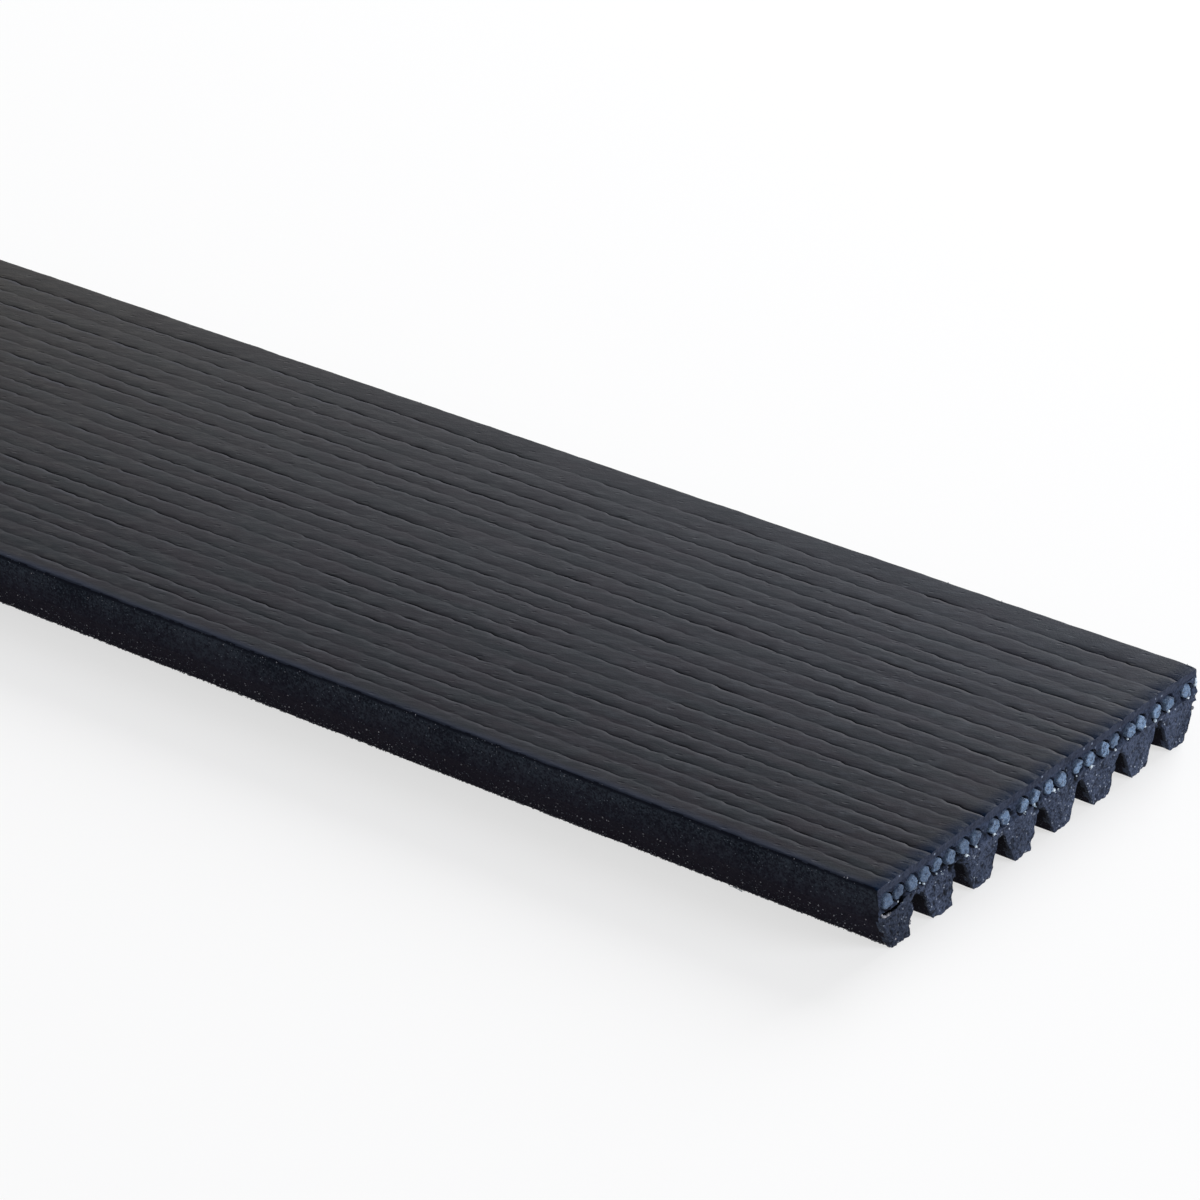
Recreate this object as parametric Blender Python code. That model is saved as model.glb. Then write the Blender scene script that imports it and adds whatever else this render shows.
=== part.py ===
# A cut length of multi-rib belt for an engine's auxiliary drive, lying on its ribs with its back up.
#
# Cross-section, from the underside up: V ribs on a thin web, the cushion rubber that holds the
# tensile cords, and the back cover. The cords lie in pairs. The back sinks a little over each
# space between two cords, which draws the creases that run along it.
#
# Frame: +X runs along the belt to the end with the split, +Y across it and +Z up.
# The origin is in the middle of the length and width, on the plane of the rib tips.

import math

import bmesh
import bpy

MM = 0.001

# Belt
BELT_LENGTH = 100.0 * MM
RIB_COUNT = 8

# Ribs: the depth of the grooves follows from the pitch, the flat, the angle and the root
RIB_PITCH = 3.56 * MM
RIB_TIP_FLAT = 1.46 * MM
RIB_TIP_RADIUS = 0.16 * MM
GROOVE_ANGLE = math.radians(40.0)
ROOT_RADIUS = 0.43 * MM
RIB_WEB = 0.42 * MM

# Tensile cords, laid in pairs
CORD_DIAMETER = 0.86 * MM
CORD_GAP = 0.20 * MM
PAIR_GAP = 0.50 * MM
CORD_COVER = 0.12 * MM
CORD_BOND = 0.03 * MM
CORD_PROUD = 0.14 * MM
CORD_END_ROUND = 0.10 * MM
FIRST_PAIR = 1.20 * MM
EDGE_WALL = 0.12 * MM

# How far each pair strays from even spacing, as a share of the gap between pairs
PAIR_STRAY = (0.0, -0.5, -1.0, -1.2, -0.9, -0.5, -0.7, -0.3, -0.5, -0.5, -0.3, 0.4)

# Back cover
BACK_THICKNESS = 0.48 * MM
BACK_EDGE_CHAMFER = 0.10 * MM
CUT_ROLL_LENGTH = 0.35 * MM
CUT_ROLL_DROP = 0.10 * MM
CREASE_DEPTH = 0.08 * MM
CREASE_WIDTH = 0.34 * MM
CREASE_WAVE = 0.09 * MM
CREASE_WAVE_LENGTH = 31.0 * MM

# Split under the first cords, at the +X end
SPLIT_SIDE_WALL = 0.40 * MM
SPLIT_WIDTH = 2.20 * MM
SPLIT_HEIGHT = 0.24 * MM
SPLIT_DEPTH = 2.50 * MM

# Facets
CORD_SIDES = 12
ROOT_SEGMENTS = 6
TIP_SEGMENTS = 2
BACK_SPANS = 22
SHARP_ANGLE = math.radians(35.0)

# What follows from the sizes above
BELT_WIDTH = RIB_COUNT * RIB_PITCH
FRONT_SIDE = -BELT_WIDTH / 2
BACK_SIDE = BELT_WIDTH / 2
HALF_LENGTH = BELT_LENGTH / 2
FLANK_TILT = GROOVE_ANGLE / 2
HALF_GROOVE = (RIB_PITCH - RIB_TIP_FLAT) / 2
GROOVE_DEPTH = (
    HALF_GROOVE * math.cos(FLANK_TILT) - ROOT_RADIUS * (1 - math.sin(FLANK_TILT))
) / math.sin(FLANK_TILT)
CUSHION_BOTTOM = GROOVE_DEPTH + RIB_WEB
CORD_HEIGHT = CUSHION_BOTTOM + CORD_COVER + CORD_BOND + CORD_DIAMETER / 2
CUSHION_TOP = CORD_HEIGHT + CORD_DIAMETER / 2 + CORD_BOND + CORD_COVER
BACK_TOP = CUSHION_TOP + BACK_THICKNESS
CORD_SPACING = CORD_DIAMETER + CORD_GAP
PAIR_PITCH = 2 * CORD_DIAMETER + CORD_GAP + PAIR_GAP


def clear_scene():
    for obj in list(bpy.data.objects):
        bpy.data.objects.remove(obj, do_unlink=True)


def make_material(name, colour, roughness):
    material = bpy.data.materials.new(name)
    material.use_nodes = True
    shader = material.node_tree.nodes["Principled BSDF"]
    shader.inputs["Base Color"].default_value = (*colour, 1.0)
    shader.inputs["Roughness"].default_value = roughness
    shader.inputs["Metallic"].default_value = 0.0
    return material


def add_object(name, bm):
    """Makes a bmesh an object of this name, with its faces turned outwards."""
    bmesh.ops.recalc_face_normals(bm, faces=bm.faces)
    mesh = bpy.data.meshes.new(name)
    bm.to_mesh(mesh)
    bm.free()
    obj = bpy.data.objects.new(name, mesh)
    bpy.context.scene.collection.objects.link(obj)
    return obj


def finish(obj, material):
    """Gives a piece its material, and smooth shading on its round faces."""
    obj.data.materials.append(material)
    obj.data.shade_smooth()
    obj.data.set_sharp_from_angle(angle=SHARP_ANGLE)


def add_cutter(name, bm):
    cutter = add_object(name, bm)
    cutter.hide_render = True
    cutter.display_type = "WIRE"
    return cutter


def cut(obj, cutter):
    modifier = obj.modifiers.new(cutter.name, "BOOLEAN")
    modifier.operation = "DIFFERENCE"
    modifier.solver = "EXACT"
    modifier.object = cutter


def loft(bm, sections):
    """Skins a closed solid along X through (x, outline) sections, all with as many points."""
    rings = [[bm.verts.new((x, y, z)) for y, z in outline] for x, outline in sections]
    for ring, following in zip(rings, rings[1:]):
        for i, corner in enumerate(ring):
            bm.faces.new((ring[i - 1], corner, following[i], following[i - 1]))
    bm.faces.new(rings[0])
    bm.faces.new(reversed(rings[-1]))


def extrude_along(bm, outline, half_length):
    loft(bm, [(-half_length, outline), (half_length, outline)])


def arc(centre, radius, start, end, segments):
    """Points of an arc in the YZ plane, both ends included."""
    angles = [start + (end - start) * i / segments for i in range(segments + 1)]
    return [
        (centre[0] + radius * math.cos(a), centre[1] + radius * math.sin(a))
        for a in angles
    ]


def rib_tip(middle):
    """One rib's tip from its left flank to its right one, rounded at both corners."""
    inset = RIB_TIP_RADIUS * (1 - math.sin(FLANK_TILT)) / math.cos(FLANK_TILT)
    centre = (middle - RIB_TIP_FLAT / 2 + inset, RIB_TIP_RADIUS)
    left = arc(centre, RIB_TIP_RADIUS, math.pi + FLANK_TILT, 1.5 * math.pi, TIP_SEGMENTS)
    right = [(2 * middle - y, z) for y, z in reversed(left)]
    return left + right


def groove_root(middle):
    """The round root of a groove, which touches both flanks."""
    centre = (middle, GROOVE_DEPTH - ROOT_RADIUS)
    return arc(centre, ROOT_RADIUS, math.pi - FLANK_TILT, FLANK_TILT, ROOT_SEGMENTS)


def ribbed_outline():
    """The ribs and their web. The belt's sides run through the middle of a groove."""
    half_root = ROOT_SEGMENTS // 2
    points = groove_root(FRONT_SIDE)[half_root:]
    for rib in range(RIB_COUNT):
        if rib > 0:
            points += groove_root(FRONT_SIDE + rib * RIB_PITCH)
        points += rib_tip(FRONT_SIDE + (rib + 0.5) * RIB_PITCH)
    points += groove_root(BACK_SIDE)[: half_root + 1]
    return points + [(BACK_SIDE, CUSHION_BOTTOM), (FRONT_SIDE, CUSHION_BOTTOM)]


def split_cutter():
    """A wedge, open on top and at the belt's end, that closes to nothing at its depth."""
    past = SPLIT_HEIGHT
    slope = SPLIT_HEIGHT / SPLIT_DEPTH
    inner_x = HALF_LENGTH - SPLIT_DEPTH - past
    outer_x = HALF_LENGTH + past
    left = FRONT_SIDE + SPLIT_SIDE_WALL
    right = left + SPLIT_WIDTH
    top = CUSHION_BOTTOM + SPLIT_HEIGHT
    inner_floor = CUSHION_BOTTOM + past * slope
    outer_floor = CUSHION_BOTTOM - SPLIT_HEIGHT - past * slope
    inner = [(left, inner_floor), (right, inner_floor), (right, top), (left, top)]
    outer = [(left, outer_floor), (right, outer_floor), (right, top), (left, top)]
    bm = bmesh.new()
    loft(bm, [(inner_x, inner), (outer_x, outer)])
    return add_cutter("split_cutter", bm)


def build_ribbed_body(material):
    bm = bmesh.new()
    extrude_along(bm, ribbed_outline(), HALF_LENGTH)
    body = add_object("ribbed_body", bm)
    finish(body, material)
    cut(body, split_cutter())


def cord_centres():
    """Distances of the cords from the front side, pair by pair, as far as whole cords fit."""
    last = BELT_WIDTH - EDGE_WALL - CORD_BOND - CORD_DIAMETER / 2
    centres = []
    pair = 0
    while not centres or centres[-1] <= last:
        stray = PAIR_STRAY[pair % len(PAIR_STRAY)] * PAIR_GAP
        middle = FIRST_PAIR + pair * PAIR_PITCH + stray
        centres += [middle - CORD_SPACING / 2, middle + CORD_SPACING / 2]
        pair += 1
    return [centre for centre in centres if centre <= last]


def round_outline(centre, radius):
    """A cord's outline, or its channel's, at a distance from the front side."""
    step = 2 * math.pi / CORD_SIDES
    return [
        (
            FRONT_SIDE + centre + radius * math.cos(step * i),
            CORD_HEIGHT + radius * math.sin(step * i),
        )
        for i in range(CORD_SIDES)
    ]


def build_cord_cushion(centres, material):
    outline = [
        (FRONT_SIDE, CUSHION_BOTTOM),
        (BACK_SIDE, CUSHION_BOTTOM),
        (BACK_SIDE, CUSHION_TOP),
        (FRONT_SIDE, CUSHION_TOP),
    ]
    bm = bmesh.new()
    extrude_along(bm, outline, HALF_LENGTH)
    cushion = add_object("cord_cushion", bm)
    finish(cushion, material)

    channels = bmesh.new()
    for centre in centres:
        channel = round_outline(centre, CORD_DIAMETER / 2 + CORD_BOND)
        extrude_along(channels, channel, HALF_LENGTH + CORD_DIAMETER)
    cut(cushion, add_cutter("channel_cutter", channels))


def build_tensile_cord(number, centre, material):
    """One cord. The blade left each cord standing proud of the rubber by an amount of its own."""
    proud = CORD_PROUD * (0.6 + 0.4 * math.cos(2.4 * (number - 1)))
    face_radius = CORD_DIAMETER / 2 - CORD_END_ROUND
    shoulder = HALF_LENGTH + proud - CORD_END_ROUND
    body = round_outline(centre, CORD_DIAMETER / 2)
    face = round_outline(centre, face_radius)
    tip = shoulder + CORD_END_ROUND
    bm = bmesh.new()
    loft(bm, [(-tip, face), (-shoulder, body), (shoulder, body), (tip, face)])
    finish(add_object(f"tensile_cord_{number:02d}", bm), material)


def crease_lines(centres):
    """(distance from the front side, depth) of each crease, deeper over a wider gap."""
    lines = []
    for left, right in zip(centres, centres[1:]):
        gap = right - left - CORD_DIAMETER
        lines.append(((left + right) / 2, CREASE_DEPTH * min(1.0, gap / PAIR_GAP)))
    return lines


def crease_sway(number, x):
    """How far a crease has strayed sideways at x, each one along a wave of its own."""
    turn = 2 * math.pi * x / CREASE_WAVE_LENGTH
    slow = math.sin(turn + 1.7 * number)
    quick = math.sin(2.3 * turn + 2.9 * number)
    return CREASE_WAVE * (0.65 * slow + 0.35 * quick)


def back_outline(lines, x, top):
    """The back cover's outline at x: over the creased top, then back along the flat bottom."""
    points = [(FRONT_SIDE, top - BACK_EDGE_CHAMFER), (FRONT_SIDE + BACK_EDGE_CHAMFER, top)]
    for number, (place, depth) in enumerate(lines):
        middle = FRONT_SIDE + place + crease_sway(number, x)
        points.append((middle - CREASE_WIDTH / 2, top))
        points.append((middle, top - depth))
        points.append((middle + CREASE_WIDTH / 2, top))
    points += [(BACK_SIDE - BACK_EDGE_CHAMFER, top), (BACK_SIDE, top - BACK_EDGE_CHAMFER)]
    return points + [(BACK_SIDE, CUSHION_TOP), (FRONT_SIDE, CUSHION_TOP)]


def build_back_cover(centres, material):
    """The creased back. Its top edge rolls down where the blade went through, at both ends."""
    lines = crease_lines(centres)
    inner = HALF_LENGTH - CUT_ROLL_LENGTH
    sections = [(-HALF_LENGTH, back_outline(lines, -HALF_LENGTH, BACK_TOP - CUT_ROLL_DROP))]
    for i in range(BACK_SPANS + 1):
        x = -inner + 2 * inner * i / BACK_SPANS
        sections.append((x, back_outline(lines, x, BACK_TOP)))
    sections.append((HALF_LENGTH, back_outline(lines, HALF_LENGTH, BACK_TOP - CUT_ROLL_DROP)))
    bm = bmesh.new()
    loft(bm, sections)
    finish(add_object("back_cover", bm), material)


def main():
    clear_scene()
    rib_rubber = make_material("rib rubber", (0.020, 0.023, 0.032), 0.80)
    cushion_rubber = make_material("cushion rubber", (0.016, 0.020, 0.030), 0.70)
    back_rubber = make_material("back rubber", (0.045, 0.046, 0.052), 0.55)
    cord_fibre = make_material("polyester cord", (0.130, 0.190, 0.250), 0.50)

    centres = cord_centres()
    build_ribbed_body(rib_rubber)
    build_cord_cushion(centres, cushion_rubber)
    for number, centre in enumerate(centres, start=1):
        build_tensile_cord(number, centre, cord_fibre)
    build_back_cover(centres, back_rubber)


main()
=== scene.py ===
import math
import random
from contextlib import contextmanager

import bpy
import numpy as np
from mathutils import Matrix, Vector, noise


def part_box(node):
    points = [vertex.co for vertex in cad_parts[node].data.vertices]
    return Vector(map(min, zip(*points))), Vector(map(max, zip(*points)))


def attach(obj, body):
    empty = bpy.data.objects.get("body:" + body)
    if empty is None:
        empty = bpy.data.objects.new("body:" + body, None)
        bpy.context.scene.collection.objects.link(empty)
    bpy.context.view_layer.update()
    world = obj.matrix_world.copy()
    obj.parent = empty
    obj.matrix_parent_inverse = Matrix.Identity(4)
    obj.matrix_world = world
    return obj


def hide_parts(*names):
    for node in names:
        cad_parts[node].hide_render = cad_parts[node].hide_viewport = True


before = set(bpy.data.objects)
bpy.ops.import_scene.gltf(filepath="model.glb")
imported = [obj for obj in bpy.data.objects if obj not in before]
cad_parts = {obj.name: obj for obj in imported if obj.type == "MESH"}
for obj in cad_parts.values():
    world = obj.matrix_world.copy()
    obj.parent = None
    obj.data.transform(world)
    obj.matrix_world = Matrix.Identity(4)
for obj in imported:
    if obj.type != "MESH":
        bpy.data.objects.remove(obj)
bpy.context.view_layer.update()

# A cut length of multi-rib belt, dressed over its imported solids.
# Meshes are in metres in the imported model's frame. Sizes in the settings are in millimetres.
mm = 0.001

ribLow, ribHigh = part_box("ribbed_body")
cushionLow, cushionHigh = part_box("cord_cushion")
backLow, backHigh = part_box("back_cover")
frontSide, backSide = cushionLow[1], cushionHigh[1]
cutEnd = cushionHigh[0]                      # both ends are cut at this distance from the middle
cordBoxes = [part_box(name) for name in sorted(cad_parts) if name.startswith("tensile_cord_")]
cordPlaces = [((low[1] + high[1]) / 2, (low[2] + high[2]) / 2) for low, high in cordBoxes]
cordRadius = (cordBoxes[0][1][1] - cordBoxes[0][0][1]) / 2


# Working tools

def linear(hexText):
    # sRGB hex to the linear colour that shaders take
    channels = [int(hexText[i:i + 2], 16) / 255 for i in (1, 3, 5)]
    return tuple(c / 12.92 if c <= 0.04045 else ((c + 0.055) / 1.055) ** 2.4 for c in channels) + (1.0,)


def setUp(tree, node, settings=None, links=None):
    # Settings in small letters are the node's own, capitals and numbers name its sockets.
    # A link comes from an output, or from the first output that a node has in use.
    for key, value in (settings or {}).items():
        if isinstance(key, str) and key[0].islower():
            setattr(node, key, value)
        else:
            node.inputs[key].default_value = value
    for key, source in (links or {}).items():
        if isinstance(source, bpy.types.Node):
            source = next(output for output in source.outputs if output.enabled)
        tree.links.new(source, node.inputs[key])
    return node


def addNode(tree, kind, settings=None, links=None):
    return setUp(tree, tree.nodes.new("ShaderNode" + kind), settings, links)


def deselectAll():
    if bpy.context.object and bpy.context.object.mode != "OBJECT":
        bpy.ops.object.mode_set(mode="OBJECT")
    bpy.ops.object.select_all(action="DESELECT")


def pick(obj):
    deselectAll()
    obj.select_set(True)
    bpy.context.view_layer.objects.active = obj


@contextmanager
def editing(obj, part=None, wanted=None):
    # edit mode with everything selected, or only the wanted faces or edges, and out of it again
    pick(obj)
    bpy.ops.object.mode_set(mode="EDIT")
    if part:
        bpy.ops.mesh.select_mode(type=part)
        bpy.ops.mesh.select_all(action="DESELECT")
        bpy.ops.object.mode_set(mode="OBJECT")
        parts = obj.data.polygons if part == "FACE" else obj.data.edges
        parts.foreach_set("select", np.asarray(wanted, dtype=bool))
        bpy.ops.object.mode_set(mode="EDIT")
    else:
        bpy.ops.mesh.select_all(action="SELECT")
    yield
    bpy.ops.object.mode_set(mode="OBJECT")


def joinAll(pieces):
    deselectAll()
    for piece in pieces:
        piece.select_set(True)
    bpy.context.view_layer.objects.active = pieces[0]
    bpy.ops.object.join()
    return bpy.context.object


def copyOf(first):
    copy = first.copy()
    copy.data = first.data.copy()
    bpy.context.collection.objects.link(copy)
    return copy


def rod(sides, radius, length, place):
    # a closed cylinder that lies along the belt
    deselectAll()
    bpy.ops.mesh.primitive_cylinder_add(vertices=sides, radius=radius, depth=length, end_fill_type="NGON",
                                        rotation=(0, math.pi / 2, 0), location=place)
    bpy.ops.object.transform_apply(location=True, rotation=True, scale=True)
    return bpy.context.object


def readPoints(obj):
    points = np.empty(len(obj.data.vertices) * 3)
    obj.data.vertices.foreach_get("co", points)
    return points.reshape(-1, 3)


def writePoints(obj, points):
    obj.data.vertices.foreach_set("co", np.asarray(points, dtype=np.float32).ravel())
    obj.data.update()


def readFaces(obj):
    count = len(obj.data.polygons)
    centres, normals = np.empty(count * 3), np.empty(count * 3)
    obj.data.polygons.foreach_get("center", centres)
    obj.data.polygons.foreach_get("normal", normals)
    return centres.reshape(-1, 3), normals.reshape(-1, 3)


def spans(obj, axis):
    # how far each edge reaches along an axis
    pairs = np.empty(len(obj.data.edges) * 2, dtype=int)
    obj.data.edges.foreach_get("vertices", pairs)
    ends = readPoints(obj)[pairs.reshape(-1, 2)][:, :, axis]
    return np.abs(ends[:, 0] - ends[:, 1])


def storeShare(obj, name, values):
    # a value from 0 to 1 at each point, which the materials read
    layer = obj.data.attributes.new(name, "FLOAT", "POINT")
    layer.data.foreach_set("value", np.clip(values, 0.0, 1.0).astype(np.float32))


def turnFacesOut(obj):
    with editing(obj):
        bpy.ops.mesh.normals_make_consistent(inside=False)


def smoothstep(low, high, value):
    t = np.clip((np.asarray(value, dtype=float) - low) / (high - low), 0.0, 1.0)
    return t * t * (3 - 2 * t)


def lumps(points, size, seed):
    # one Perlin value for each point, with lumps of about this size
    shift = Vector((seed * 7.31, seed * 3.17, seed * 5.53))
    return np.array([noise.noise(Vector(p) / size + shift) for p in points])


def waver(distances, size, seed):
    # Perlin values along a line
    return np.array([noise.noise(Vector((d / size, seed * 9.7, seed * 4.3))) for d in distances])


def stations(nearEnd, step):
    # places along the belt, close together at both cuts
    inner = cutEnd - nearEnd[-1] * mm
    count = round(2 * inner / (step * mm))
    ends = [-cutEnd + d * mm for d in nearEnd]
    middle = [-inner + 2 * inner * i / count for i in range(1, count)]
    return np.array(ends + middle + [-x for x in reversed(ends)])


def gridSheet(name, acrossCount, alongCount):
    # a flat grid whose rows and columns are then laid on the section
    deselectAll()
    bpy.ops.mesh.primitive_grid_add(x_subdivisions=acrossCount - 1, y_subdivisions=alongCount - 1, size=2)
    sheet = bpy.context.object
    sheet.name = sheet.data.name = name
    points = readPoints(sheet)
    across = np.rint((points[:, 0] + 1) / 2 * (acrossCount - 1)).astype(int)
    along = np.rint((points[:, 1] + 1) / 2 * (alongCount - 1)).astype(int)
    return sheet, across, along


def pullThrough(section, y, z, s):
    # stands a flat section at the far cut and extrudes it to the seen cut, with a loop at each station
    places = stations(s["nearEnd"], s["step"])
    writePoints(section, np.stack([np.full_like(y, -cutEnd), y, z], axis=1))
    with editing(section, "FACE", np.ones(len(section.data.polygons))):
        bpy.ops.mesh.extrude_region_move(TRANSFORM_OT_translate={"value": (2 * cutEnd, 0, 0)})
    with editing(section, "EDGE", spans(section, 0) > cutEnd):
        bpy.ops.mesh.subdivide(number_cuts=len(places) - 2)
    points = readPoints(section)
    loop = np.rint((points[:, 0] + cutEnd) / (2 * cutEnd) * (len(places) - 1)).astype(int)
    points[:, 0] = places[loop]
    writePoints(section, points)
    turnFacesOut(section)


def mergeHidden(obj, side, height, keepNear=0.0):
    # the face against the next layer needs no grid, so its faces become one
    centres, normals = readFaces(obj)
    wanted = (normals[:, 2] * side > 0.9) & (np.abs(centres[:, 2] - height) < 0.02 * mm)
    wanted &= np.abs(centres[:, 0]) < cutEnd - keepNear * mm
    with editing(obj, "FACE", wanted):
        bpy.ops.mesh.dissolve_faces()


# What the blade and the grinder left on the rubber

bladeCut = {
    "reach": 0.55,                             # how far the tearing goes into the belt
    # height and width of the lumps, from the widest to the finest
    "wander": (0.08, 1.9), "coarse": (0.12, 0.45), "fine": (0.12, 0.19),
    "ragged": (0.07, 0.36),                    # sideways, so that the corners aren't straight
    "torn": (0.8, 0.16), "sink": 0.03,
    # above the cords the blade cut cleaner by this share, and by half of it on the later ribs
    "calm": 0.65, "calmFrom": -8.0, "calmRun": 5.0,
}
# where rubber is torn out beside the cords and over the grooves: across, height, width, depth
tears = (
    (-13.20, 3.10, 0.16, 0.25), (-12.00, 2.55, 0.20, 0.30), (-10.95, 1.96, 0.22, 0.30),
    (-9.93, 2.86, 0.14, 0.30), (-8.65, 2.74, 0.14, 0.25), (-8.02, 2.60, 0.28, 0.45),
    (-7.86, 2.12, 0.22, 0.35), (-7.50, 2.85, 0.26, 0.40), (-7.28, 2.05, 0.28, 0.45),
    (-6.47, 2.71, 0.14, 0.25), (-5.28, 3.02, 0.17, 0.30), (-3.93, 2.88, 0.19, 0.30),
    (-2.60, 2.95, 0.17, 0.25), (-0.90, 2.70, 0.14, 0.25), (-0.35, 2.30, 0.26, 0.40),
    (-0.10, 2.62, 0.14, 0.25), (2.25, 3.30, 0.13, 0.15), (3.20, 2.30, 0.22, 0.30),
    (4.87, 3.00, 0.17, 0.25), (6.98, 2.82, 0.19, 0.30), (7.22, 3.02, 0.20, 0.30),
    (8.46, 2.75, 0.15, 0.20), (10.95, 2.05, 0.20, 0.25), (12.30, 2.80, 0.15, 0.20),
)
sawnSide = {"wide": (0.020, 0.9), "fine": (0.026, 0.3), "stretch": 0.6}


def bumps(setting, points, seed):
    # lumps of this height, in millimetres, and this width
    height, width = setting
    return height * lumps(points, width * mm, seed)


def roughenCuts(obj, cut, darker=None):
    # moves the points near both cuts, and marks how hidden from the light each one is
    points = readPoints(obj)
    hollow = np.zeros(len(points)) if darker is None else darker.copy()
    depth = cutEnd - np.abs(points[:, 0])
    near = np.nonzero(depth < cut["reach"] * mm)[0]
    chosen = points[near]
    side = np.sign(chosen[:, 0])
    spot = chosen.copy()
    spot[:, 0] = side * cutEnd               # the same lump for all points at one place of the section
    weight = 1 - smoothstep(0.0, cut["reach"] * mm, depth[near])
    above = smoothstep(cordPlaces[0][1], cordPlaces[0][1] + 0.5 * mm, spot[:, 2])
    later = 0.5 * smoothstep(cut["calmFrom"] * mm, (cut["calmFrom"] + cut["calmRun"]) * mm, spot[:, 1])
    harsh = 1 - cut["calm"] * np.maximum(above, later)
    fine = lumps(spot, cut["fine"][1] * mm, 8)
    height = bumps(cut["wander"], spot, 3) + bumps(cut["coarse"], spot, 5) * harsh
    height += cut["fine"][0] * fine * harsh - cut["sink"]
    chosen[:, 0] += side * weight * height * mm
    pits = 0.9 * smoothstep(0.16, 0.42, -fine) * harsh
    for across, level, width, deep in tears:
        away = ((spot[:, 1] - across * mm) ** 2 + (spot[:, 2] - level * mm) ** 2) / (width * mm) ** 2
        torn = np.exp(-away * (1 + bumps(cut["torn"], spot, 29)))
        chosen[:, 0] -= side * weight * deep * torn * mm
        pits = np.maximum(pits, 2.3 * torn - 0.35)
    for axis, seed in ((1, 11), (2, 17)):
        chosen[:, axis] += weight * harsh * bumps(cut["ragged"], spot, seed) * mm
    chosen[:, 2] = np.maximum(chosen[:, 2], ribLow[2])
    points[near] = chosen
    hollow[near] = np.maximum(hollow[near], pits * smoothstep(0.0, 0.3, weight))
    writePoints(obj, points)
    storeShare(obj, "hollow", hollow)


def roughenSides(obj, side):
    points = readPoints(obj)
    near = np.nonzero(np.abs(points[:, 1]) > backSide - 0.05 * mm)[0]
    chosen = points[near]
    spot = chosen.copy()
    spot[:, 0] *= side["stretch"]            # the grinder's marks are longer along the belt
    chosen[:, 1] += (bumps(side["wide"], spot, 21) + bumps(side["fine"], spot, 23)) * mm
    points[near] = chosen
    writePoints(obj, points)


# Materials

def patternPlace(tree, length, width=None, slant=0.0):
    # Object coordinates in which one cell of a pattern has this real size in millimetres,
    # along the belt and across it, turned from the belt's direction by the slant in degrees
    width = width or length
    return addNode(tree, "Mapping",
                   {"vector_type": "TEXTURE", "Scale": (length * mm, width * mm, width * mm),
                    "Rotation": (0.0, 0.0, math.radians(slant))},
                   {"Vector": addNode(tree, "TexCoord").outputs["Object"]})


def beltAxes(tree):
    # X runs along the belt, Y across it and Z up
    return addNode(tree, "SeparateXYZ", links={"Vector": addNode(tree, "TexCoord").outputs["Object"]}).outputs


def newMaterial(name):
    material = bpy.data.materials.new(name)
    material.use_nodes = True
    tree = material.node_tree
    return material, tree, tree.nodes["Principled BSDF"]


def twoTone(tree, source, low, high, start, end):
    # from one colour to another as a pattern's value rises from start to end
    ramp = addNode(tree, "ValToRGB", links={"Fac": source})
    for stop, tone, place in zip(ramp.color_ramp.elements, (low, high), (start, end)):
        stop.color = linear(tone)
        stop.position = place
    return ramp


def coats(tree, colour, layers):
    # lays one colour after another over the first, each as far as its own share says
    for tone, share in layers:
        colour = addNode(tree, "Mix", {"data_type": "RGBA", 7: linear(tone)}, {0: share, 6: colour})
    return colour


curedBack = {
    # the pale colour for the creases' near rims is a painted highlight
    "cool": "#1e2227", "warm": "#232127", "farDustAndSheen": "#454340", "nearDustAndSheen": "#3f434c", "wearAndRimHighlight": "#3d3e44",
    # the near-black colour is painted shade in the crease bottoms and torn spots
    "rim": "#282d3a", "edgeShade": "#04152b", "deep": "#05060a",
    # size of one cell along and across, and its slant in degrees
    "patch": (5.0, 1.3), "fold": (1.0, 0.33, 17.0), "grain": (0.13,), "pit": (1.3, 0.50, 17.0),
    "patchRange": (0.36, 0.64), "foldRange": (0.50, 0.80), "pitSize": 0.20,
    # pale dust and painted sheen: its range, its reach and turn across the top, and its share on the folds
    "dustAndSheen": (-0.015, 0.675), "dustAndSheenReach": 24.0, "dustAndSheenTurn": -0.16, "foldDustAndSheen": 0.35,
    # the band of painted shade at the cuts, and how much of it is left on the far side
    "rimBand": 0.55, "edgeShadeBand": 1.10, "farEdgeShade": 0.85,
    "foldDepth": 0.026, "grainDepth": 0.013, "pitDepth": 0.034,
    "roughness": (0.46, 0.62), "specular": 0.04,
}


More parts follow.
